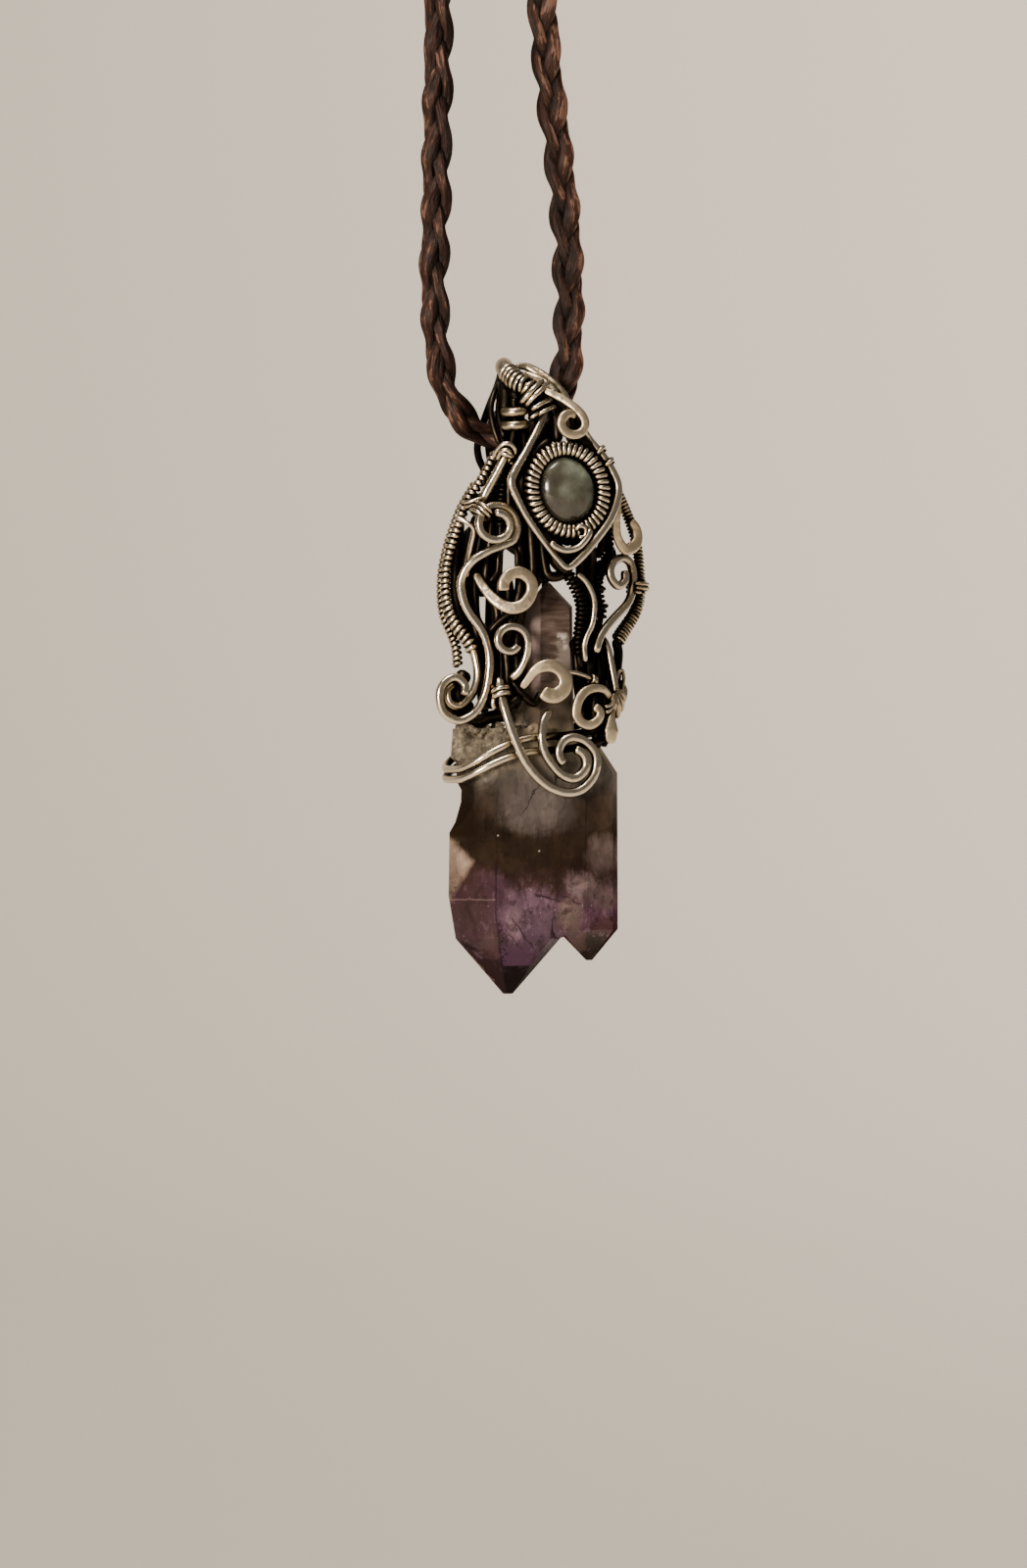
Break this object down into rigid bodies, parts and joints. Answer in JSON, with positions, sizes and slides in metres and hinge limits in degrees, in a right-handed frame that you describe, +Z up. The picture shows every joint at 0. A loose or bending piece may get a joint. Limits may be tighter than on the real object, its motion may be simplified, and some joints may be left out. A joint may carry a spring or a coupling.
{
  "type": "wire-wrapped crystal pendant on a cord",
  "caption": "Wire-wrapped amethyst crystal pendant with a coil-set oval cabochon, hanging free on a braided cord necklace.",
  "frame": {"origin": "inner top of the necklace's loop, under the bend of the clasp, where it hangs", "axes": "+Z up, -Y towards the viewer, the way the pendant faces, +X to the pendant's right as seen from the front"},
  "size_m": [0.031, 0.0167, 0.2858],
  "materials": {
    "cord": "waxed brown cotton braid",
    "silver": "antiqued silver wire, polished on the high spots",
    "dark_silver": "oxidised silver wire",
    "amethyst": "natural smoky amethyst, clear to cloudy",
    "cabochon": "polished grey-green moonstone"
  },
  "bodies": {
    "cord": {"cord": "cord", "clasp": "silver"},
    "pendant": {"crystal": "amethyst", "cabochon": "cabochon", "bezel_back": "dark_silver", "bezel_coil": "silver", "bezel_hook": "silver", "diamond_frame": "silver", "bail_arch": "silver", "bail_strap": "dark_silver", "bail_saddle": "dark_silver", "neck_wrap_upper": "silver", "neck_wrap_lower": "silver", "top_scroll": "silver", "left_rod": "silver", "rod_collar": "silver", "left_binding_upper": "silver", "left_binding_lower": "silver", "v_wire": "silver", "left_coil_front": "silver", "left_coil_back": "dark_silver", "s_scroll": "silver", "broad_scroll": "silver", "small_scroll": "silver", "centre_scroll": "silver", "right_lower_scroll": "silver", "teardrop_scroll": "silver", "long_spiral": "silver", "inner_spiral": "silver", "stem_binding": "silver", "link_wire": "silver", "right_coil": "silver", "right_binding": "silver", "right_sweep": "silver", "inner_right_wire": "silver", "right_stem": "silver", "leaf": "silver", "paddle": "silver", "dark_coil_left": "dark_silver", "dark_coil_right": "dark_silver", "left_spine": "dark_silver", "band_upper": "silver", "band_lower": "silver", "back_left": "dark_silver", "back_right": "dark_silver"}
  },
  "joints": [
    {"name": "pendant_swing", "type": "hinge", "parent": "cord", "child": "pendant", "pos_m": [0.0013, 0.0012, -0.2132], "axis": [1, 0, 0], "range_deg": [-30, 30]}
  ]
}
